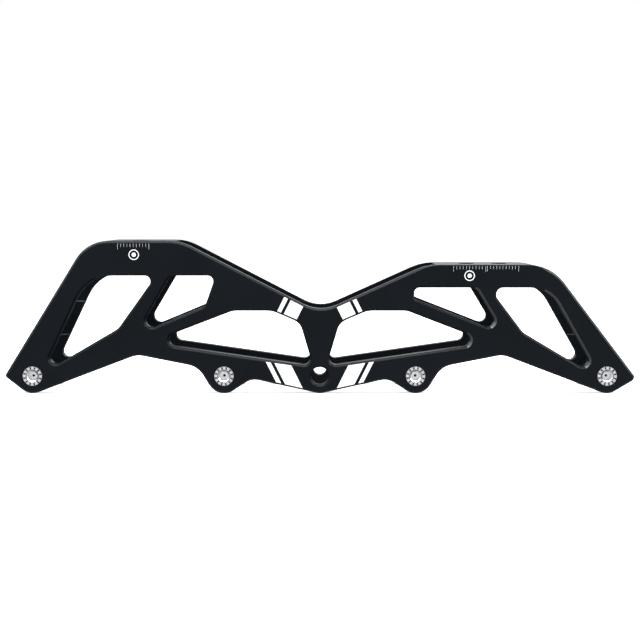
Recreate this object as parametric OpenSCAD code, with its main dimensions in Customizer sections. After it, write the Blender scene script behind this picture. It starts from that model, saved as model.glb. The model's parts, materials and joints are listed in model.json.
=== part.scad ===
// Inline skate frame: two windowed walls joined by a heel deck and a toe deck in one milled piece,
// with four wheel axles that screw in from one side.
// +X points to the toe, +Z is up and the axle heads face -Y. The origin lies midway between the
// first and the last axle, midway between the walls, on the level of the undersides of the bosses.

/* [Frame] */
// Distance from the first axle to the last
wheelbase = 259; // [240:1:280]
// Width over the two walls
frame_w = 36; // [34:0.5:42]
// Thickness of the walls along their lengthwise ribs
rib_t = 5.5; // [4.5:0.1:6]
// Thickness of the walls between the ribs
web_t = 4.5; // [3:0.1:5.5]
// Radius of the wall's edge round each axle
boss_r = 7.8; // [7:0.1:9]
// Height of the heel deck's top above the axle line
heel_h = 60.9; // [57:0.1:66]
// Height of the toe deck's top above the axle line
toe_h = 50.2; // [48:0.1:56]
// Height of the saddle between the decks above the axle line
saddle_h = 28.6; // [26:0.1:32]
// Depth of solid wall above the heel windows
heel_rim = 15.6; // [12:0.1:18]
// Depth of solid wall above the toe windows
toe_rim = 10.3; // [9:0.1:13]

/* [Decks and mounting slots] */
// Distance from the heel slot to the front toe slot
mount_long = 165; // [160:1:170]
// Distance from the front toe slot back to the rear one
toe_slot_step = 15; // [12:0.5:18]
// Width of a mounting slot
slot_w = 7; // [6:0.1:8]
// Length of a mounting slot across the frame
slot_l = 12; // [10:0.5:18]
// Thickness of the heel deck
heel_deck_t = 8; // [6:0.1:11]
// Thickness of the toe deck
toe_deck_t = 7; // [5:0.1:7.5]

/* [Axles and wheels] */
// Diameter of an axle's shank
axle_d = 8; // [7:0.1:10]
// Diameter of an axle's head at its face
head_d = 9.4; // [8.8:0.1:11]
// Diameter of an axle's threaded end
thread_d = 6; // [5:0.1:6.8]
// Depth of the drive socket in an axle's head
socket_depth = 3; // [2:0.1:4]
// Width across the flats of the drive socket
socket_w = 4; // [3:0.1:5]
// Clear width between the hub seats inside the walls
hub_w = 24; // [22:0.1:25]
// Radius of a hub seat
seat_r = 6.5; // [6:0.1:7.5]
// Radial clearance of an axle in the frame
axle_gap = 0.05; // [0.02:0.01:0.1]
// Distance of an axle's threaded end from the outside of the wall
end_gap = 0.5; // [0.2:0.1:2]
// Largest wheel on the three-wheel axles
big_wheel_d = 110; // [100:1:110]
// Largest wheel on the four-wheel axles
small_wheel_d = 84; // [76:1:84]
// Clearance from a wheel to the decks
wheel_gap = 1.5; // [1:0.1:3]

/* [Hidden] */
$fn = 96;
// Overlap of a cut with what it cuts
cut = 1;
// Greatest turn of a rounded corner from one point to the next, in degrees
arc_step = 9;
pitch = wheelbase / 3;
axle_x = [-wheelbase / 2, -pitch / 2, pitch / 2, wheelbase / 2];
bore_x = concat(axle_x, [0]);
heel_x = -mount_long / 2;
toe_x = mount_long / 2;
rear_toe_x = toe_x - toe_slot_step;
slot_x = [heel_x, rear_toe_x, toe_x];

// Tops of the frame and of the windows above the axle line
frame_top = max(heel_h, toe_h);
heel_top = heel_h - heel_rim;
toe_top = toe_h - toe_rim;

// Levels above the axle line between which the inside of the walls is ribbed
low_rib_top = 16.5;
mid_rib_bottom = 25.5;
mid_rib_top = 32.2;

// Ends of the decks, measured from the slots
heel_deck = [heel_x - 17.5, heel_x + 17];
toe_deck = [rear_toe_x - 15, toe_x + 13.5];

// The windows' corners, each [x, height above the axle line, corner radius]
heel_outer_window = [
    [heel_x - 21.8, heel_top, 18],
    [axle_x[0] + 4.1, 1.2, 2.8],
    [heel_x - 8.2, 21.5, 6],
    [heel_x + 9, heel_top, 2.6],
];
heel_inner_window = [
    [heel_x + 15.4, heel_top, 4.4],
    [heel_x - 0.3, 18.6, 3.2],
    [heel_x + 30.9, heel_top - 13.7, 3.7],
    [heel_x + 35.8, heel_top, 2.6],
];
// The middle window behind the saddle; the one in front of it is its mirror image
middle_window = [
    [axle_x[1] - 33.5, 15, 3],
    [-3.1, 4.4, 3],
    [-8.9, saddle_h - 4.5, 6.7],
    [axle_x[1] + 21.7, saddle_h + 0.9, 10.1],
    [axle_x[1] + 4.1, saddle_h + 0.9, 8.2],
];
toe_inner_window = [
    [toe_x - 40.1, toe_top, 2.4],
    [toe_x - 40.1, toe_top - 5, 2.4],
    [toe_x + 0.2, 19.2, 3],
    [toe_x - 12.2, toe_top, 4.3],
];
toe_outer_window = [
    [toe_x - 6.4, toe_top, 3.1],
    [toe_x + 8.9, 19.8, 7.3],
    [axle_x[3] - 3.1, -1, 2.9],
    [toe_x + 20.6, toe_top, 15.3],
];

// The corners of the side view's outline, each [x, height above the axle line, corner radius]
heel_tip = [axle_x[0] - 12.7, 0, 1.5];
heel_arch = [heel_x + 0.2, 9.6, 10];
rear_notch = [axle_x[1] - 11.9, 4.2, 10];
rear_hollow = [axle_x[1] + 12.4, -1.2, 8];
front_hollow = [axle_x[2] - 12.4, -1.2, 8];
front_notch = [axle_x[2] + 11.9, 4.2, 10];
toe_arch = [toe_x, 9.6, 10];
toe_tip = [axle_x[3] + 13.4, -1.1, 2.2];
toe_front = [toe_x + 21, toe_h, 20.5];
toe_back = [toe_x - 34.4, toe_h, 27];
saddle = [0, saddle_h, 17];
heel_front = [heel_x + 19.9, heel_h, 22];
heel_back = [heel_x - 21.7, heel_h, 17.4];

outline = [
    heel_tip, boss(heel_tip, axle_x[0], heel_arch), heel_arch,
    rear_notch, boss(rear_notch, axle_x[1], rear_hollow), rear_hollow,
    boss(rear_hollow, 0, front_hollow),
    front_hollow, boss(front_hollow, axle_x[2], front_notch), front_notch,
    toe_arch, boss(toe_arch, axle_x[3], toe_tip), toe_tip,
    toe_front, toe_back, saddle, heel_front, heel_back,
];

function flat(p) = [p[0], p[1]];
function unit(v) = v / norm(v);
function on_circle(centre, r, angle) = centre + r * [cos(angle), sin(angle)];
function angle_of(v) = atan2(v[1], v[0]);

// Where the line through a and b meets the line through c and d
function meet(a, b, c, d) = a + (b - a) * cross(c - a, d - c) / cross(b - a, d - c);

// Where a line from p touches the circle of a boss at x; side is 1 if p is left of it and -1 if right
function touch(p, x, side) =
    let (away = flat(p) - [x, 0])
    on_circle([x, 0], boss_r, angle_of(away) + side * acos(boss_r / norm(away)));

// The corner that wraps the boss at x between the outline's corners on its left and right
function boss(left, x, right) =
    concat(meet(flat(left), touch(left, x, 1), flat(right), touch(right, x, -1)), [boss_r]);

// The points that round corner q between its neighbours p and s, for a shape that runs anticlockwise
function arc(p, q, s) =
    let (back = unit(flat(p) - flat(q)), next = unit(flat(s) - flat(q)))
    let (half = acos(back * next) / 2, turn = 180 - 2 * half)
    let (centre = flat(q) + unit(back + next) * q[2] / sin(half))
    let (start = angle_of(flat(q) + back * q[2] / tan(half) - centre))
    let (way = cross(back, next) > 0 ? -1 : 1, steps = max(2, ceil(turn / arc_step)))
    [for (i = [0 : steps]) on_circle(centre, q[2], start + way * turn * i / steps)];

// A flat shape with rounded corners; each corner is [x, y, radius] and they run anticlockwise
module rounded(corners) {
    count = len(corners);
    polygon([for (i = [0 : count - 1])
        each arc(corners[(i + count - 1) % count], corners[i], corners[(i + 1) % count])]);
}

// The side view of a wall
module wall_shape() {
    difference() {
        rounded(outline);
        rounded(heel_outer_window);
        rounded(heel_inner_window);
        rounded(middle_window);
        mirror([1, 0]) rounded(middle_window);
        rounded(toe_inner_window);
        rounded(toe_outer_window);
    }
}

// Turns a side view into a solid of width w, centred across the frame
module across(w) {
    rotate([90, 0, 0]) linear_extrude(w, center = true) children();
}

// A round bar across the frame at x on the axle line, from y0 to y1
module bar(x, r, y0, y1) {
    translate([x, y0, 0]) rotate([-90, 0, 0]) cylinder(r = r, h = y1 - y0);
}

// The block between the walls that becomes a deck, from the deck's underside to above the frame
module deck(ends, underside) {
    translate([ends[0], -frame_w / 2, underside])
        cube([ends[1] - ends[0], frame_w, frame_top + 2 * cut - underside]);
}

// The room that the wheels need
module wheels() {
    for (x = [axle_x[0], 0, axle_x[3]])
        bar(x, big_wheel_d / 2 + wheel_gap, -frame_w, frame_w);
    for (x = axle_x)
        bar(x, small_wheel_d / 2 + wheel_gap, -frame_w, frame_w);
}

// The open channel between the walls, narrower along the ribs
module channel() {
    rib_y = frame_w / 2 - rib_t;
    web_y = frame_w / 2 - web_t;
    start = heel_tip[0] - cut;
    length = toe_tip[0] + cut - start;
    bottom = -boss_r - cut;
    top = frame_top + cut;
    translate([start, -rib_y, bottom]) cube([length, 2 * rib_y, top - bottom]);
    translate([start, -web_y, low_rib_top]) cube([length, 2 * web_y, mid_rib_bottom - low_rib_top]);
    translate([start, -web_y, mid_rib_top]) cube([length, 2 * web_y, top - mid_rib_top]);
}

// The bore for one axle: countersunk and plain up to the far hub seat, then the thread's hole
module axle_hole(x) {
    sink = (head_d - axle_d) / 2;
    bar(x, axle_d / 2 + axle_gap, -frame_w / 2 - cut, hub_w / 2);
    bar(x, thread_d / 2 + axle_gap, 0, frame_w / 2 + cut);
    translate([x, -frame_w / 2, 0]) rotate([-90, 0, 0])
        cylinder(r1 = head_d / 2 + axle_gap, r2 = axle_d / 2 + axle_gap, h = sink);
}

module mounting_slot(x) {
    reach = (slot_l - slot_w) / 2;
    top = frame_top + cut;
    bottom = min(heel_h - heel_deck_t, toe_h - toe_deck_t) - cut;
    translate([x, 0, bottom]) {
        for (y = [-reach, reach])
            translate([0, y, 0]) cylinder(d = slot_w, h = top - bottom);
        translate([-slot_w / 2, -reach, 0]) cube([slot_w, 2 * reach, top - bottom]);
    }
}

module frame_body() {
    color("#20232a") translate([0, 0, boss_r]) difference() {
        across(frame_w) wall_shape();
        difference() {
            channel();
            difference() {
                union() {
                    deck(heel_deck, heel_h - heel_deck_t);
                    deck(toe_deck, toe_h - toe_deck_t);
                }
                wheels();
            }
            for (x = bore_x)
                for (y = [-frame_w / 2, hub_w / 2])
                    bar(x, seat_r, y, y + (frame_w - hub_w) / 2);
        }
        for (x = bore_x)
            axle_hole(x);
        for (x = slot_x)
            mounting_slot(x);
    }
}

// One axle: flush head, shank up to the far hub seat and threaded end
module axle(x) {
    face = -frame_w / 2;
    sink = (head_d - axle_d) / 2;
    color("#c9ccd0") translate([0, 0, boss_r]) difference() {
        union() {
            translate([x, face, 0]) rotate([-90, 0, 0])
                cylinder(d1 = head_d, d2 = axle_d, h = sink);
            bar(x, axle_d / 2, face + sink, hub_w / 2 - axle_gap);
            bar(x, thread_d / 2, 0, frame_w / 2 - end_gap);
        }
        translate([x, face - cut, 0]) rotate([-90, 0, 0])
            cylinder(d = socket_w / cos(30), h = socket_depth + cut, $fn = 6);
    }
}

frame_body();
axle(axle_x[0]);  // axle_1
axle(axle_x[1]);  // axle_2
axle(axle_x[2]);  // axle_3
axle(axle_x[3]);  // axle_4
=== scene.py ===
# %% [markdown]
# # An inline skate frame in black anodised aluminium
# The real object is one milled aluminium channel, dyed black, with four bright axles screwed in from
# one side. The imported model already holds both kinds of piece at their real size, so nothing here is
# moved or scaled. What is left for Blender is what light shows: chamfers along the milled edges,
# white screen print, a thread, engraved axle heads, and finishes that look like metal.

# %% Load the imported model
import json
import math

import bmesh
import bpy
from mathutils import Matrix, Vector
from mathutils.geometry import delaunay_2d_cdt

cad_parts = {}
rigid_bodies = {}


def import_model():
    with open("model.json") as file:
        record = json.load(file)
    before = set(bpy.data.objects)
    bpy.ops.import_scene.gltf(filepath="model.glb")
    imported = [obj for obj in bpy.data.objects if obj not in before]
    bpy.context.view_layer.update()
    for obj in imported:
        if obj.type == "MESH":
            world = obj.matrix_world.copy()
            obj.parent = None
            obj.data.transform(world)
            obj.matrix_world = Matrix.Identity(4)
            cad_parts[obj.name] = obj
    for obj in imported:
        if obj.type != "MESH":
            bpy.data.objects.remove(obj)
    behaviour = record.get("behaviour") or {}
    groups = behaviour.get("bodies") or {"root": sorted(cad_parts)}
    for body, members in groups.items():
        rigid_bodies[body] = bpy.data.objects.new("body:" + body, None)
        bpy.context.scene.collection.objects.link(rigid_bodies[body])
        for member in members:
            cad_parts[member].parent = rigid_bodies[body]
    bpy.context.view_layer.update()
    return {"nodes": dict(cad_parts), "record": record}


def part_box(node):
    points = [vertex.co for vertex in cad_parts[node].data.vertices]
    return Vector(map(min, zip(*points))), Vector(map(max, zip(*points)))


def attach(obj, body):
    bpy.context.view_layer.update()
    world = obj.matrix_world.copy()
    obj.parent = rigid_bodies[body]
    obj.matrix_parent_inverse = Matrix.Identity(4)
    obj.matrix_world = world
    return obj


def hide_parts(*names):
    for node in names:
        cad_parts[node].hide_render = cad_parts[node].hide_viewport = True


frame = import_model()

# %% [markdown]
# ## Places that everything else is measured from
# A dressed model stays true if its places are read from the frame instead of being typed in again.
# The outer faces, the axle line and the toe deck come from boxes and mounts, in metres. Sizes that
# only this script knows, such as the width of a chamfer, are in millimetres, and MM turns them into
# metres.

# %% Read the frame's own places
MM = 0.001
AXLES = [name for name in sorted(frame["nodes"]) if name.startswith("axle_")]
mount_at = {mount["name"]: Vector(mount["pos_m"]) for mount in frame["record"]["mounts"]}
toe_top = mount_at["toe_deck_top"].z
side_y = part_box("frame_body")[1].y
axle_at = {}
for name in AXLES:
    low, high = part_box(name)
    axle_at[name] = Vector(((low.x + high.x) / 2, -side_y, (low.z + high.z) / 2))
axle_z = axle_at[AXLES[0]].z
axle_x = [round(spot.x / MM, 1) for spot in axle_at.values()]
print("axle line at", round(axle_z / MM, 2), "mm; axles at x =", axle_x)

# %% [markdown]
# ## The camera
# The photograph looks almost straight at one wall from about 0.6 m, a little above the decks, so that
# thin bands of the deck tops and of the windows' lower edges show. A long lens on a camera that is
# tilted down a little gives nearly the view of a level camera with a shifted lens, and other views
# stay centred.

# %% Place the camera
CAMERA_SPOT = Vector((0.1, -610.0, 80.0)) * MM
CAMERA_TILT = math.radians(4.519)
CAMERA_LENS = 74.41
CLIP_START = 10 * MM
LEVEL = math.radians(90)

camera = bpy.data.objects.new("camera", bpy.data.cameras.new("camera"))
camera.location = CAMERA_SPOT
camera.rotation_euler = (LEVEL - CAMERA_TILT, 0, 0)
camera.data.lens = CAMERA_LENS
camera.data.clip_start = CLIP_START
bpy.context.scene.collection.objects.link(camera)
bpy.context.scene.camera = camera
print("camera with a lens of", CAMERA_LENS, "mm")

# %% [markdown]
# ## Small helpers for node materials
# Every finish below is a Principled shader with a few texture nodes. These helpers keep each one
# short: one makes the material, one adds a noise, one stretches a value between two others, and two
# more let a value drive the colour and a bump.

# %% Helpers for materials
NOISE_LOW, NOISE_HIGH = 0.3, 0.7


def new_material(name):
    """A node material with a Principled shader; returns material, shader and adder of nodes."""
    material = bpy.data.materials.new(name)
    material.use_nodes = True
    tree = material.node_tree
    shader = tree.nodes["Principled BSDF"]

    def add(kind, inputs=None, **settings):
        node = tree.nodes.new(kind)
        for key, value in settings.items():
            setattr(node, key, value)
        for key, value in (inputs or {}).items():
            if isinstance(value, bpy.types.NodeSocket):
                tree.links.new(value, node.inputs[key])
            else:
                node.inputs[key].default_value = value
        return node

    return material, shader, add


def link(shader, socket_name, output):
    """Joins a node's output to one of the shader's sockets."""
    shader.id_data.links.new(output, shader.inputs[socket_name])


def noise(add, place, scale, detail=3.0):
    """A noise texture in object space; the scale counts grains per metre."""
    inputs = {"Vector": place, "Scale": scale, "Detail": detail}
    return add("ShaderNodeTexNoise", inputs).outputs["Fac"]


def spread(add, value, low, high):
    """A texture value, centred as noise is, stretched to run from low to high."""
    inputs = {"Value": value, "From Min": NOISE_LOW, "From Max": NOISE_HIGH}
    inputs |= {"To Min": low, "To Max": high}
    return add("ShaderNodeMapRange", inputs).outputs["Result"]


def tint(add, shader, value, first, second):
    """Lets a texture value move the shader's colour from the first colour to the second."""
    ramp = add("ShaderNodeValToRGB", {"Fac": spread(add, value, 0.0, 1.0)})
    for element, colour in zip(ramp.color_ramp.elements, (first, second)):
        element.color = (*colour, 1)
    link(shader, "Base Color", ramp.outputs["Color"])


def relief(add, shader, height, strength, depth):
    """Lets a texture value raise the surface in the light, by a depth in metres."""
    bump = add("ShaderNodeBump", {"Strength": strength, "Distance": depth, "Height": height})
    link(shader, "Normal", bump.outputs["Normal"])


print("material helpers are ready")

# %% [markdown]
# ## Black anodised aluminium
# Anodising grows a thin clear oxide that takes up a black dye. It is darker and bluer than paint, and
# its gloss comes from the blasted metal below it: satin, with a grain of a few tenths of a millimetre
# and slow patches where the dye took a little more or less. A low specular level keeps the flat faces
# deep black, while chamfers that face a lamp still shine. Two more finishes have the same dye: a dull
# one for the windows' sides, which the cutter left rough, that is also painted shade on some chamfers,
# and a lit copy with a high specular level that is a painted highlight on other chamfers.

# %% Finishes of the frame
def black_anodised(name, smoothest, roughest, specular):
    material, shader, add = new_material(name)
    place = add("ShaderNodeTexCoord").outputs["Object"]
    patches = noise(add, place, scale=45.0)
    grain = noise(add, place, scale=3200.0, detail=2.0)
    tint(add, shader, patches, first=(0.0016, 0.0030, 0.0048), second=(0.0024, 0.0042, 0.0066))
    link(shader, "Roughness", spread(add, grain, smoothest, roughest))
    relief(add, shader, grain, strength=0.10, depth=0.02 * MM)
    shader.inputs["Specular IOR Level"].default_value = specular
    return material


anodised = black_anodised("satin_black_anodising", smoothest=0.36, roughest=0.44, specular=0.10)
# The dull finish is also painted shade on heel chamfers; the bright copy is a painted highlight on toe
# chamfers.
dull_and_shaded_anodised = black_anodised("dull_and_painted_shade_black_anodising", smoothest=0.60, roughest=0.70, specular=0.02)
painted_highlight_anodised = black_anodised("painted_highlight_black_anodising", smoothest=0.36, roughest=0.44, specular=0.85)
print("made", anodised.name, dull_and_shaded_anodised.name, "and", painted_highlight_anodised.name)

# %% [markdown]
# ## White screen print
# The stripes and the scales on the walls are printed in white ink, a few hundredths of a millimetre
# thick. On this scale that has no height, so the print is a second material on faces of the wall
# itself. Ink is duller than the metal around it and not quite even.

# %% Finish of the print
def white_print():
    material, shader, add = new_material("white_print")
    place = add("ShaderNodeTexCoord").outputs["Object"]
    cover = noise(add, place, scale=900.0)
    tint(add, shader, cover, first=(0.86, 0.89, 0.89), second=(0.92, 0.95, 0.95))
    link(shader, "Roughness", spread(add, cover, low=0.45, high=0.60))
    relief(add, shader, cover, strength=0.05, depth=0.01 * MM)
    shader.inputs["Specular IOR Level"].default_value = 0.2
    return material


ink_white = white_print()
print("made", ink_white.name)

# %% [markdown]
# ## What is printed on a wall
# The print is drawn in the wall's own plane, as x and height above the axle line in millimetres.
# Pairs of plain white stripes, one wide and one thin, cross the arms on both sides of the saddle.
# Stripes may reach past the wall, because the wall's own edge trims them later.

# %% Draw the stripes
STRIPE_REACH = 8.5
STRIPE_LEAN = 0.5
WIDE_STRIPE = 7.0
THIN_STRIPE = 2.0
STRIPE_GAP = 1.6
UPPER_STRIPES = (8.2, 30.0)
LOWER_STRIPES = (10.6, 0.4)


def stripe(x, height, lean, width):
    """A slanted stripe that crosses the given height between x and x - width."""
    shift = lean * STRIPE_REACH
    foot, top = height - STRIPE_REACH, height + STRIPE_REACH
    return [(x - shift, foot), (x + shift, top), (x + shift - width, top), (x - shift - width, foot)]


print_shapes = []
for (near_x, height), lean in ((UPPER_STRIPES, STRIPE_LEAN), (LOWER_STRIPES, -STRIPE_LEAN)):
    thin_x = near_x + WIDE_STRIPE + STRIPE_GAP
    for x, width in ((near_x, WIDE_STRIPE), (thin_x, THIN_STRIPE)):
        left = stripe(-x, height, lean, width)
        right = [(-px, ph) for px, ph in left]
        print_shapes += [[left], [right]]
print("drew", len(print_shapes), "stripes")

# %% [markdown]
# ## The setting scales
# Below each deck's edge runs a scale for setting the boot: eleven ticks in a row, the first and the
# last a little longer, with a ringed dot below. The heel has one scale and the toe has two, one for
# each row of mounting slots. Thin rectangles and rings of points are enough, since the wall's face is
# cut along them further down.

# %% Draw the scales
TICKS = 11
TICK_WIDTH = 0.08
END_TICK = 2.5
TICK = 1.5
RING_RADIUS = 2.32
RING_STROKE = 0.36
DOT_RADIUS = 0.95
RING_POINTS = 40
SCALES = ((-90.4, -76.4, 59.65), (59.9, 74.2, 49.7), (75.0, 89.0, 49.7))
RINGS = ((-83.2, 54.7), (67.1, 45.3))


def circle(x, height, radius):
    turn = [math.tau * i / RING_POINTS for i in range(RING_POINTS)]
    return [(x + radius * math.cos(a), height + radius * math.sin(a)) for a in turn]


for first_x, last_x, top in SCALES:
    for i in range(TICKS):
        x = first_x + (last_x - first_x) * i / (TICKS - 1)
        foot = top - (END_TICK if i in (0, TICKS - 1) else TICK)
        left, right = x - TICK_WIDTH / 2, x + TICK_WIDTH / 2
        print_shapes.append([[(left, foot), (right, foot), (right, top), (left, top)]])
for x, height in RINGS:
    rim = [circle(x, height, RING_RADIUS), circle(x, height, RING_RADIUS - RING_STROKE)]
    print_shapes += [rim, [circle(x, height, DOT_RADIUS)]]
print("the print has", len(print_shapes), "shapes")

# %% [markdown]
# ## A copy of the milled body to work on
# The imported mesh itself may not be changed, so the body is copied into a bmesh. The file stores the
# corners of every flat face apart, which keeps the faces flat when they are lit. Joining corners that
# share a place gives a closed mesh again, and only then can a face know its neighbours.

# %% Copy the milled body
TOUCHING = 0.001 * MM


def welded_copy(node):
    """The node's mesh as a bmesh, with corners that share a place joined."""
    source = frame["nodes"][node].data
    bm = bmesh.new()
    corners = [bm.verts.new(vertex.co) for vertex in source.vertices]
    for polygon in source.polygons:
        bm.faces.new([corners[i] for i in polygon.vertices])
    bmesh.ops.remove_doubles(bm, verts=bm.verts, dist=TOUCHING)
    return bm


def open_edges(bm):
    """How many edges don't lie between exactly two faces; a closed mesh has none."""
    return sum(not edge.is_manifold for edge in bm.edges)


body = welded_copy("frame_body")
print("body:", len(body.verts), "corners,", len(body.faces), "faces; open edges:", open_edges(body))

# %% [markdown]
# ## Eased ribs
# The walls are thicker along two ribs inside the channel. Through the windows the far wall's ribs
# show as fine light lines, because their upper edges are eased and catch the lamp overhead. A narrow
# bevel along those edges does the same. Corners that the bevel leaves on each other are joined, so
# that no face is left without an area.

# %% Ease the upper edges of the ribs
RIB_THICKNESS = 5.5
RIB_TOPS = (16.5, 32.2)
RIB_TURN = math.radians(60)
RIB_EASE = 0.5
NEAR = 0.01
rib_y = side_y / MM - RIB_THICKNESS


def on_rib(vert):
    """Whether a corner lies on the upper edge of a rib."""
    height = (vert.co.z - axle_z) / MM
    at_face = abs(abs(vert.co.y) / MM - rib_y) < NEAR
    return at_face and any(abs(height - top) < NEAR for top in RIB_TOPS)


rib_edges = []
for edge in body.edges:
    if all(on_rib(vert) for vert in edge.verts) and edge.calc_face_angle(0) > RIB_TURN:
        rib_edges.append(edge)
eased = len(rib_edges)
bmesh.ops.bevel(body, geom=rib_edges, offset=RIB_EASE * MM, segments=1, affect="EDGES")
bmesh.ops.remove_doubles(body, verts=body.verts, dist=TOUCHING)
print("eased", eased, "edges; open edges:", open_edges(body))

# %% [markdown]
# ## The loops round a wall
# A chamfer needs the edge that it follows. When the flat outer face of a wall is taken out, its rim
# is left as loops of corners: the outline, the windows and the bores. They are walked with the metal
# on the left, so one rule later moves every loop into the metal. The widest loop is the outline, and
# those narrower than any window are bores.

# %% Take out a wall's face and walk its rim
BORE_SIZE = 12.0


def wall_loops(bm, y):
    """Removes the flat face at y and returns the loops of corners round the gap it leaves.

    Seen with x to the right and z up, the outline runs anticlockwise and the holes clockwise."""
    flat = [f for f in bm.faces if all(abs(v.co.y - y) < TOUCHING for v in f.verts)]
    in_flat = set(flat)
    following = {}
    for face in flat:
        for corner in face.loops:
            if any(other not in in_flat for other in corner.edge.link_faces):
                ends = (corner.vert, corner.link_loop_next.vert)
                start, end = ends if y < 0 else ends[::-1]
                following[start] = end
    bmesh.ops.delete(bm, geom=flat, context="FACES")
    loops = []
    while following:
        loop = [next(iter(following))]
        spot = following.pop(loop[0])
        while spot is not loop[0]:
            loop.append(spot)
            spot = following.pop(spot)
        loops.append(loop)
    return loops


rims = {y: wall_loops(body, y) for y in (-side_y, side_y)}
shapes = [[(v.co.x / MM, v.co.z / MM) for v in loop] for loop in rims[-side_y]]
spans = [max(x for x, _ in shape) - min(x for x, _ in shape) for shape in shapes]
windows = [shape for shape, span in zip(shapes, spans) if BORE_SIZE < span < max(spans)]
print("loops on each wall:", [len(loops) for loops in rims.values()], "with", len(windows), "windows")

# %% [markdown]
# ## Geometry in the wall's plane
# Three small helpers: a loop moved to its left with mitred corners, a test whether a point lies in a
# loop, and the chamfer's width. The chamfer is 0.9 mm wide all round, but along the flat toe deck it
# is only a broken edge.

# %% Helpers for loops
CHAMFER = 0.9
TOE_CHAMFER = 0.25
TOE_FADE = 2.0


def inset(points, widths):
    """The loop moved to its left by widths, one per corner, with mitred corners."""
    moved = []
    for i, here in enumerate(points):
        way_in = (here - points[i - 1]).normalized()
        way_out = (points[(i + 1) % len(points)] - here).normalized()
        left_in, left_out = Vector((-way_in.y, way_in.x)), Vector((-way_out.y, way_out.x))
        mitre = (left_in + left_out) / (1 + left_in.dot(left_out))
        moved.append(here + mitre * widths[i])
    return moved


def encloses(points, spot):
    """Whether the loop of points goes round the spot."""
    inside = False
    for i, a in enumerate(points):
        b = points[i - 1]
        if (a[1] > spot[1]) != (b[1] > spot[1]):
            if spot[0] < a[0] + (b[0] - a[0]) * (spot[1] - a[1]) / (b[1] - a[1]):
                inside = not inside
    return inside


def chamfer_width(point):
    """Width of the chamfer at a corner of a wall's rim, in mm."""
    if point.x < 0:
        return CHAMFER
    below = (toe_top / MM - point.y) / TOE_FADE
    return TOE_CHAMFER + (CHAMFER - TOE_CHAMFER) * min(1, max(0, below))


print("chamfers are", CHAMFER, "mm wide and", TOE_CHAMFER, "mm along the toe deck")

# %% [markdown]
# ## Planning a wall's new face
# The new face starts inside the chamfers. Its plan holds corners and the lines between them, in
# millimetres: the rim's loops, moved in by the chamfer's width, and all shapes of the print. The old
# corners of the rim sink by the same width, which is what slants the chamfer. Bores keep their edges.

# %% Plan a wall's new face
def plan_wall(loops, y):
    """The new face's corners and lines in mm, and its rim.

    For each loop the rim holds the old corners, the number of the first new corner, the new points
    and whether the loop is a bore."""
    corners, lines, rim = [], [], []

    def add_loop(points):
        first = len(corners)
        corners.extend(Vector(p) for p in points)
        lines.extend((first + i, first + (i + 1) % len(points)) for i in range(len(points)))
        return first

    for loop in loops:
        points = [Vector((v.co.x, v.co.z)) / MM for v in loop]
        bore = max(p.x for p in points) - min(p.x for p in points) < BORE_SIZE
        if not bore:
            widths = [chamfer_width(p) for p in points]
            points = inset(points, widths)
            for v, width in zip(loop, widths):
                v.co.y = math.copysign(side_y - width * MM, y)
        rim.append((loop, add_loop(points), points, bore))
    for shape in print_shapes:
        for ring in shape:
            add_loop([(x, height + axle_z / MM) for x, height in ring])
    return corners, lines, rim


def is_printed(spot):
    """Whether a spot of the wall, in mm, lies in an odd number of rings of a print shape."""
    spot = (spot[0], spot[1] - axle_z / MM)
    return any(sum(encloses(ring, spot) for ring in shape) % 2 for shape in print_shapes)


print("each wall is planned with", sum(len(shape) for shape in print_shapes), "rings of print")

# %% [markdown]
# ## Closing a wall again
# A constrained Delaunay triangulation takes the plan's lines as lines that no triangle may cross, so
# the print has clean edges that come from geometry. Triangles in windows are dropped, and those
# inside a print shape get the ink. A chamfer's polygon then picks up every corner that the print left
# on its upper edge, so the mesh stays closed.

# %% Close the walls with chamfers and print
METAL, INK, DULL_AND_SHADED, PAINTED_HIGHLIGHT = 0, 1, 2, 3
EVERY_TRIANGLE = 0
SAME_SPOT = 1e-5


def close_wall(bm, loops, y):
    """Fills the gap at y with a printed face and its chamfers; returns how many faces carry ink."""
    corners, lines, rim = plan_wall(loops, y)
    net = delaunay_2d_cdt(corners, lines, [], EVERY_TRIANGLE, SAME_SPOT)
    spots, _, triangles, came_from, _, _ = net
    place = {given: i for i, givens in enumerate(came_from) for given in givens}
    verts = [None] * len(spots)
    for loop, first, _, bore in rim:
        if bore:
            for i, vert in enumerate(loop):
                verts[place[first + i]] = vert
    for i, spot in enumerate(spots):
        verts[i] = verts[i] or bm.verts.new((spot.x * MM, y, spot.y * MM))

    outlines = [points for _, _, points, _ in rim]
    way = 1 if y < 0 else -1
    sides, printed = [], 0
    for triangle in triangles:
        centre = (spots[triangle[0]] + spots[triangle[1]] + spots[triangle[2]]) / 3
        if sum(encloses(points, centre) for points in outlines) != 1:
            continue
        face = bm.faces.new([verts[i] for i in triangle][::way])
        face.material_index = INK if is_printed(centre) else METAL
        printed += face.material_index == INK
        sides += [(corner, triangle[(i + 1) % 3]) for i, corner in enumerate(triangle)]

    known = set(sides)
    rim_next = {a: b for a, b in sides if (b, a) not in known}
    for loop, first, _, bore in rim:
        for i, vert in enumerate(loop if not bore else []):
            after = (i + 1) % len(loop)
            top = [place[first + i]]
            while top[-1] != place[first + after]:
                top.append(rim_next[top[-1]])
            bm.faces.new(([vert, loop[after]] + [verts[k] for k in reversed(top)])[::way])
    return printed


for y, loops in rims.items():
    print("wall at", round(y / MM, 1), "mm closed;", close_wall(body, loops, y), "faces carry ink")
bmesh.ops.delete(body, geom=[v for v in body.verts if not v.link_faces], context="VERTS")
print("open edges:", open_edges(body))

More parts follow.
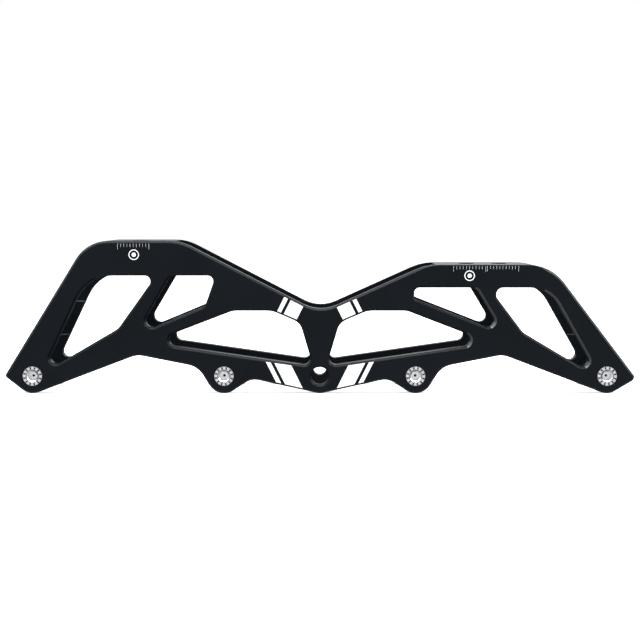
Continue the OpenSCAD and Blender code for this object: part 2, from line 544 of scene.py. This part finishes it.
# %% [markdown]
# ## Dull edges, painted shade and painted highlights
# The cutter leaves the windows' sides rougher than the blasted faces, so they are nearly black. The
# chamfers carry painted light: round the heel windows those that face the toe and the floor take the
# dull finish as painted shade, and round the toe windows those that face the heel take the bright
# copy as a painted highlight. A face's normal tells which way it faces, and a spot a little in front
# of it tells whether it lies beside a window.

# %% Choose the finish of the windows' edges
FLAT = 0.1
LEAN = 0.3
STEP_OUT = 0.8


def beside_window(face):
    """Whether the spot in front of a face lies in a window."""
    way = Vector((face.normal.x, 0, face.normal.z)).normalized()
    spot = face.calc_center_median() / MM + way * STEP_OUT
    return any(encloses(window, (spot.x, spot.z)) for window in windows)


def is_window_side(face):
    """Whether a face is part of a window's side and doesn't face up."""
    return abs(face.normal.y) <= FLAT and face.normal.z <= LEAN and beside_window(face)


def is_window_chamfer(face):
    """Whether a face is part of the chamfer round a window."""
    return LEAN < abs(face.normal.y) < 1 - FLAT and beside_window(face)


def is_painted_shade_edge(face):
    """Whether a face is a chamfer of a heel window that faces the toe and the floor, which gets painted
    shade.
    """
    if face.calc_center_median().x > 0 or face.normal.x < LEAN or face.normal.z > 0:
        return False
    return is_window_chamfer(face)


def is_painted_highlight_edge(face):
    """Whether a face is a chamfer of a toe window that faces the heel, which gets a painted highlight.
    """
    if face.calc_center_median().x < 0 or face.normal.x > -LEAN:
        return False
    return is_window_chamfer(face)


body.normal_update()
# Window sides take the dull finish; heel chamfers facing the toe get it as painted shade, toe chamfers
# facing the heel get a painted highlight.
for face in body.faces:
    if is_window_side(face) or is_painted_shade_edge(face):
        face.material_index = DULL_AND_SHADED
    elif is_painted_highlight_edge(face):
        face.material_index = PAINTED_HIGHLIGHT
finishes = [face.material_index for face in body.faces]
print(finishes.count(DULL_AND_SHADED), "faces are dull,", finishes.count(PAINTED_HIGHLIGHT), "are bright")

# %% [markdown]
# ## The finished body
# Rounded corners should look round, while milled edges stay crisp. Edges that turn by more than 28
# degrees are marked sharp. A Weighted Normal modifier then lets the large flat faces decide how light
# falls beside a rounding, so that a flat face isn't shaded as if it bulged.

# %% Turn the body into an object
SHARP_TURN = math.radians(28)
NORMAL_WEIGHT = 80


def finish_mesh(bm, name, materials):
    """A mesh from a bmesh, smooth but for its sharp edges."""
    bm.normal_update()
    mesh = bpy.data.meshes.new(name)
    bm.to_mesh(mesh)
    bm.free()
    for material in materials:
        mesh.materials.append(material)
    mesh.shade_smooth()
    mesh.set_sharp_from_angle(angle=SHARP_TURN)
    return mesh


def show(name, mesh, body_name, replaced, spot=(0, 0, 0)):
    """Puts a mesh in the scene on its CAD body, in place of the CAD node."""
    piece = bpy.data.objects.new(name, mesh)
    piece.location = spot
    bpy.context.scene.collection.objects.link(piece)
    normals = piece.modifiers.new("weighted_normals", "WEIGHTED_NORMAL")
    normals.weight = NORMAL_WEIGHT
    normals.keep_sharp = True
    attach(piece, body_name)
    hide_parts(replaced)


body_mesh = finish_mesh(body, "milled_frame", [anodised, ink_white, dull_and_shaded_anodised, painted_highlight_anodised])
show("milled_frame", body_mesh, "frame", "frame_body")
print("milled_frame has", len(body_mesh.polygons), "faces")

# %% [markdown]
# ## Turned steel
# The axles are bright metal, and only they reflect like a mirror. A lathe leaves fine rings round the
# axle's own axis, so a ring-shaped wave drives a faint bump, while smudges drive the colour and the
# roughness. A darker and rougher copy of the same steel paints shade into the socket's mouth, the
# groove and the rim of the head. The marks engraved in the head are filled with dark paint, and the
# same dark paint stands as painted shade in the drilled hole at the socket's floor.

# %% Finishes of the axles
def turned_steel(name, tones, smoothest, roughest):
    material, shader, add = new_material(name)
    place = add("ShaderNodeTexCoord").outputs["Object"]
    inputs = {"Vector": place, "Scale": 1400.0, "Distortion": 0.1, "Detail": 2.0}
    rings = add("ShaderNodeTexWave", inputs, wave_type="RINGS", rings_direction="Y").outputs["Fac"]
    smudges = noise(add, place, scale=700.0)
    tint(add, shader, smudges, *tones)
    link(shader, "Roughness", spread(add, smudges, smoothest, roughest))
    relief(add, shader, rings, strength=0.10, depth=0.01 * MM)
    shader.inputs["Metallic"].default_value = 1.0
    return material


# Dark paint fills the engraved marks; the same dark material is painted shade in the drilled hole.
def dark_inlay_and_painted_shade():
    material, shader, add = new_material("dark_inlay_and_painted_shade")
    place = add("ShaderNodeTexCoord").outputs["Object"]
    cover = noise(add, place, scale=2500.0)
    tint(add, shader, cover, first=(0.020, 0.021, 0.023), second=(0.045, 0.047, 0.050))
    link(shader, "Roughness", spread(add, cover, low=0.5, high=0.7))
    shader.inputs["Specular IOR Level"].default_value = 0.2
    return material


BRIGHT_TONES = ((0.56, 0.57, 0.59), (0.80, 0.81, 0.83))
# The second tones are a darker steel that paints shade into the socket's mouth, the groove and the
# head's rim.
SHADE_TONES = ((0.16, 0.16, 0.17), (0.24, 0.24, 0.25))
steel = turned_steel("turned_steel", BRIGHT_TONES, smoothest=0.20, roughest=0.32)
painted_shade_steel = turned_steel("painted_shade_steel", SHADE_TONES, smoothest=0.40, roughest=0.50)
inlay_and_shade = dark_inlay_and_painted_shade()
print("made", steel.name, painted_shade_steel.name, "and", inlay_and_shade.name)

# %% [markdown]
# ## Turning an axle
# An axle is made as on a lathe: rings of corners round one axis, joined by bands of faces. A ring's
# radius or depth may depend on the angle, which gives the hexagonal socket and the way its mouth's
# cone meets the flats. The origin is the middle of the head's face, and depth runs into the frame.

# %% Rings, bands and the socket
STEPS = 96
SOCKET_FLAT = 2.0
MOUTH = 2.6


def axle_corner(bm, radius, depth, angle):
    """A corner at a radius and a depth, in mm, and at an angle round the axle."""
    return bm.verts.new((radius * math.cos(angle) * MM, depth * MM, radius * math.sin(angle) * MM))


def ring(bm, radius, depth):
    """A ring of corners round the axle; both sizes, in mm, may be functions of the angle."""
    made = []
    for step in range(STEPS):
        angle = math.tau * step / STEPS
        r = radius(angle) if callable(radius) else radius
        d = depth(angle) if callable(depth) else depth
        made.append(axle_corner(bm, r, d, angle))
    return made


def band(bm, first, second, material, left_out=()):
    """Faces of one material between two rings, except at the steps left out."""
    for step in range(STEPS):
        if step not in left_out:
            after = (step + 1) % STEPS
            face = bm.faces.new((first[step], first[after], second[after], second[step]))
            face.material_index = material


def hexagon(angle):
    """Distance from the axis to the socket's wall."""
    sixth = math.tau / 6
    return SOCKET_FLAT / math.cos(angle % sixth - sixth / 2)


def mouth_depth(angle):
    """Depth at which the mouth's cone meets the socket's wall."""
    return MOUTH - hexagon(angle)


print("the socket is", 2 * SOCKET_FLAT, "mm across its flats")

# %% [markdown]
# ## Engraved marks
# A plain ring of short marks goes round the socket. Each one is a real pocket: three cells of the
# face are left out, and a floor and four walls close the hole a little deeper. Only the floor gets
# paint.

# %% The marks in the head
STEEL, INLAY_AND_SHADE, PAINTED_SHADE = 0, 1, 2
MARKS = 12
MARK_STEPS = (2, 3, 4)
MARK_DEPTH = 0.15


def marked_steps():
    """The steps round the head at which the face is engraved, one list for each mark."""
    spacing = STEPS // MARKS
    return [[mark * spacing + step for step in MARK_STEPS] for mark in range(MARKS)]


def engrave(bm, inner, outer, steps):
    """Sinks one mark between two rings of the face."""
    columns = list(steps) + [steps[-1] + 1]
    sunk = {}
    for column in columns:
        for rim in (inner, outer):
            sunk[rim[column]] = bm.verts.new(rim[column].co + Vector((0, MARK_DEPTH * MM, 0)))
    for a, b in zip(columns, columns[1:]):
        floor_face = bm.faces.new([sunk[v] for v in (inner[a], inner[b], outer[b], outer[a])])
        floor_face.material_index = INLAY_AND_SHADE
        for rim in (inner, outer):
            bm.faces.new((rim[a], rim[b], sunk[rim[b]], sunk[rim[a]]))
    for column in (columns[0], columns[-1]):
        a, b = inner[column], outer[column]
        bm.faces.new((a, b, sunk[b], sunk[a]))


print(MARKS, "marks on each head")

# %% [markdown]
# ## The thread
# The last stretch of an axle is a thread of 1 mm pitch. Its rows of corners follow the helix, so the
# crests and roots are true edges. Each row is held between the thread's ends and shrinks to the core
# there, which is how a lathe runs a thread out. Rows that lie on each other are joined afterwards.

# %% Thread rows that follow the helix
PITCH = 1.0
THREAD_CORE = 2.45
THREAD_CREST = 3.0
THREAD_PROFILE = (
    (0.0, THREAD_CREST),
    (0.125, THREAD_CREST),
    (0.4375, THREAD_CORE),
    (0.6875, THREAD_CORE),
)
SPARE_TURNS = 3


def thread_row(bm, start, end, first, radius):
    """One row of corners, which begins first turns into the thread and climbs a turn."""
    row = []
    for step in range(STEPS):
        share = step / STEPS
        depth = min(end, max(start, start + (first + share) * PITCH))
        r = min(radius, THREAD_CORE + min(depth - start, end - depth))
        row.append(axle_corner(bm, r, depth, math.tau * share))
    return row


def add_thread(bm, start, end):
    """The thread from depth start to depth end; returns the row at its end."""
    rows = []
    for turn in range(math.ceil((end - start) / PITCH) + SPARE_TURNS):
        rows += [thread_row(bm, start, end, turn - 1 + phase, r) for phase, r in THREAD_PROFILE]
    per_turn = len(THREAD_PROFILE)
    for k in range(len(rows) - per_turn - 1):
        for step in range(STEPS):
            if step < STEPS - 1:
                corners = rows[k][step], rows[k][step + 1], rows[k + 1][step + 1], rows[k + 1][step]
            else:
                shifted = k + per_turn
                corners = rows[k][step], rows[shifted][0], rows[shifted + 1][0], rows[k + 1][step]
            bm.faces.new(corners)
    return rows[-1]


print("threads are", 2 * THREAD_CREST, "mm wide with a pitch of", PITCH, "mm")

# %% [markdown]
# ## One mesh for four axles
# All four axles are the same turned part, so one mesh serves four objects. Its profile runs from the
# drilled hole in the socket's floor out over the head's face, where a groove and a rim frame the
# marks, and then along the shank. The lengths come from the CAD axle: the shank ends at the far hub
# seat, and the thread ends just short of the outer face.

# %% Make the axles
DRILL_RADIUS, DRILL_DEPTH, DRILL_TIP = 0.6, 4.0, 0.6
SOCKET_DEPTH = 3.0
GROOVE_WIDTH, GROOVE_SLOPE, GROOVE_DEPTH = 0.40, 0.06, 0.15
MARK_INNER, MARK_OUTER = 3.1, 4.2
HEAD_RADIUS, HEAD_RIM = 4.56, 0.30
SINK = 0.7
SHANK_RADIUS, SHANK_EASE = 4.0, 0.3
THREAD_LENGTH = 5.55
SAME_ROW = 0.1 * TOUCHING
axle_low, axle_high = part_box(AXLES[0])
thread_end = (axle_high.y - axle_low.y) / MM
shank_end = thread_end - THREAD_LENGTH

# Radius, depth and the finish of the band that starts there
PROFILE = (
    # The drilled hole's wall carries the dark paint as painted shade.
    (DRILL_RADIUS, DRILL_DEPTH, INLAY_AND_SHADE),
    (DRILL_RADIUS, SOCKET_DEPTH, STEEL),
    (hexagon, SOCKET_DEPTH, STEEL),
    (hexagon, mouth_depth, STEEL),
    # The mouth, the groove and the head's rim carry painted shade in the darker steel.
    (MOUTH, 0.0, PAINTED_SHADE),
    (MOUTH + GROOVE_SLOPE, GROOVE_DEPTH, PAINTED_SHADE),
    (MOUTH + GROOVE_WIDTH - GROOVE_SLOPE, GROOVE_DEPTH, PAINTED_SHADE),
    (MOUTH + GROOVE_WIDTH, 0.0, STEEL),
    (MARK_INNER, 0.0, STEEL),
    (MARK_OUTER, 0.0, STEEL),
    (HEAD_RADIUS - HEAD_RIM, 0.0, PAINTED_SHADE),
    (HEAD_RADIUS, HEAD_RIM, STEEL),
    (SHANK_RADIUS, SINK, STEEL),
    (SHANK_RADIUS, shank_end - SHANK_EASE, STEEL),
    (SHANK_RADIUS - SHANK_EASE, shank_end, STEEL),
    (THREAD_CORE, shank_end, STEEL),
)


def turned_axle():
    bm = bmesh.new()
    rings = [ring(bm, radius, depth) for radius, depth, _ in PROFILE]
    marked = [radius for radius, _, _ in PROFILE].index(MARK_INNER)
    marks = marked_steps()
    engraved = {step for steps in marks for step in steps}
    for i, (_, _, material) in enumerate(PROFILE[:-1]):
        band(bm, rings[i], rings[i + 1], material, engraved if i == marked else ())
    for steps in marks:
        engrave(bm, rings[marked], rings[marked + 1], steps)
    # The drill's tip gets the dark paint too, as painted shade.
    tip = bm.verts.new((0, (DRILL_DEPTH + DRILL_TIP) * MM, 0))
    for step in range(STEPS):
        face = bm.faces.new((tip, rings[0][step], rings[0][(step + 1) % STEPS]))
        face.material_index = INLAY_AND_SHADE
    bm.faces.new(add_thread(bm, shank_end, thread_end))
    bmesh.ops.remove_doubles(bm, verts=bm.verts, dist=SAME_ROW)
    bmesh.ops.recalc_face_normals(bm, faces=bm.faces)
    print("axle's open edges:", open_edges(bm))
    return finish_mesh(bm, "turned_axle", [steel, inlay_and_shade, painted_shade_steel])


axle_mesh = turned_axle()
for name in AXLES:
    show("turned_" + name, axle_mesh, name, name, axle_at[name])
print("made", len(AXLES), "axles of", len(axle_mesh.polygons), "faces each")

# %% [markdown]
# ## The floor
# The photograph has a pure white ground. A white floor under studio light would come out grey, and
# more light would only bleach the object. So the Light Path node adds a share of white for the
# camera alone. The rest is an ordinary matte floor, which keeps a soft shadow. Reflections see plain
# white, as the metal on the photograph does.

# %% Make the floor
FLOOR_HALF = 6.0
FLOOR_DROP = 0.02 * MM
FLOOR_SHOWN = 0.62


def floor_material():
    material, shader, add = new_material("pale_floor")
    place = add("ShaderNodeTexCoord").outputs["Object"]
    paper = noise(add, place, scale=400.0)
    tint(add, shader, paper, first=(0.79, 0.79, 0.79), second=(0.82, 0.82, 0.82))
    shader.inputs["Roughness"].default_value = 0.9
    shader.inputs["Specular IOR Level"].default_value = 0.0
    path = add("ShaderNodeLightPath").outputs
    share = add("ShaderNodeMath", {0: path["Is Camera Ray"], 1: FLOOR_SHOWN}, operation="MULTIPLY")
    shown = add("ShaderNodeEmission", {"Strength": share.outputs["Value"]})
    lit = add("ShaderNodeAddShader", {0: shader.outputs["BSDF"], 1: shown.outputs["Emission"]})
    sharp_rays = {0: path["Is Glossy Ray"], 1: path["Is Transmission Ray"]}
    mirrored = add("ShaderNodeMath", sharp_rays, use_clamp=True)
    white = add("ShaderNodeEmission")
    either = {0: mirrored.outputs["Value"], 1: lit.outputs["Shader"], 2: white.outputs["Emission"]}
    both = add("ShaderNodeMixShader", either)
    tree = material.node_tree
    tree.links.new(both.outputs["Shader"], tree.nodes["Material Output"].inputs["Surface"])
    return material


def make_floor():
    mesh = bpy.data.meshes.new("floor")
    square = ((-1, -1), (1, -1), (1, 1), (-1, 1))
    corners = [(x * FLOOR_HALF, y * FLOOR_HALF, -FLOOR_DROP) for x, y in square]
    mesh.from_pydata(corners, [], [(0, 1, 2, 3)])
    mesh.materials.append(floor_material())
    floor = bpy.data.objects.new("floor", mesh)
    bpy.context.scene.collection.objects.link(floor)


make_floor()
print("the floor is", 2 * FLOOR_HALF, "m wide")

# %% [markdown]
# ## The background
# The world works like the floor: it is white where the camera, a reflection or a refraction sees it,
# and a plain grey where it only lights the object.

# %% Make the world
AMBIENT = 0.55
WHITE = (1, 1, 1, 1)


def seen_directly(tree):
    """1 for rays from the camera, reflections and refractions, 0 for light that is scattered."""
    path = tree.nodes.new("ShaderNodeLightPath").outputs
    total = path["Is Camera Ray"]
    for other in ("Is Glossy Ray", "Is Transmission Ray"):
        add = tree.nodes.new("ShaderNodeMath")
        add.operation = "ADD"
        add.use_clamp = True
        tree.links.new(total, add.inputs[0])
        tree.links.new(path[other], add.inputs[1])
        total = add.outputs["Value"]
    return total


def make_world():
    world = bpy.data.worlds.new("studio")
    world.use_nodes = True
    tree = world.node_tree
    lit = tree.nodes["Background"]
    lit.inputs["Color"].default_value = WHITE
    lit.inputs["Strength"].default_value = AMBIENT
    shown = tree.nodes.new("ShaderNodeBackground")
    shown.inputs["Color"].default_value = WHITE
    mix = tree.nodes.new("ShaderNodeMixShader")
    tree.links.new(seen_directly(tree), mix.inputs[0])
    tree.links.new(lit.outputs["Background"], mix.inputs[1])
    tree.links.new(shown.outputs["Background"], mix.inputs[2])
    tree.links.new(mix.outputs["Shader"], tree.nodes["World Output"].inputs["Surface"])
    bpy.context.scene.world = world


make_world()
print("the world lights the object at", AMBIENT, "of white")

# %% [markdown]
# ## Studio lamps
# A chamfer at 45 degrees throws the light of the room above into the camera: a level edge shows what
# is overhead, and the steeper an edge is, the lower to one side lies what it shows. So seven strip
# lamps hang in an arch over the frame, and their strengths set how bright each slope's edge looks.
# Soft panels in front light the print evenly and stay off the line where the walls would mirror them,
# and one behind lights the far side.

# %% Hang the lamps
AIM = Vector((0, 0, 30)) * MM
LAMPS = (
    ("overhead_strip", (0.0, -0.12, 1.20), (0.75, 0.25), 20.0),
    ("left_high_strip", (-0.50, -0.12, 1.12), (0.25, 0.30), 22.0),
    ("right_high_strip", (0.50, -0.12, 1.12), (0.25, 0.30), 7.0),
    ("left_middle_strip", (-0.85, -0.02, 0.85), (0.30, 0.30), 18.0),
    ("right_middle_strip", (0.85, -0.02, 0.85), (0.30, 0.30), 40.0),
    ("left_low_strip", (-1.22, 0.00, 0.56), (0.50, 0.35), 7.0),
    ("right_low_strip", (1.22, 0.00, 0.61), (0.50, 0.35), 17.0),
    ("front_left_panel", (-1.30, -1.30, 0.70), (0.80, 0.80), 1.6),
    ("front_right_panel", (1.30, -1.30, 0.70), (0.80, 0.80), 1.6),
    ("back_panel", (0.40, 1.60, 0.90), (0.90, 0.90), 1.6),
)


def hang(name, spot, size, glow):
    """A rectangular lamp that faces the frame; glow is its brightness, whatever its size."""
    lamp = bpy.data.lights.new(name, "AREA")
    lamp.shape = "RECTANGLE"
    lamp.size, lamp.size_y = size
    lamp.energy = glow * math.pi * size[0] * size[1]
    holder = bpy.data.objects.new(name, lamp)
    holder.location = spot
    holder.rotation_euler = (AIM - Vector(spot)).to_track_quat("-Z", "Y").to_euler()
    bpy.context.scene.collection.objects.link(holder)


for lamp in LAMPS:
    hang(*lamp)
bpy.context.scene.view_settings.view_transform = "Standard"
print("hung", len(LAMPS), "lamps")
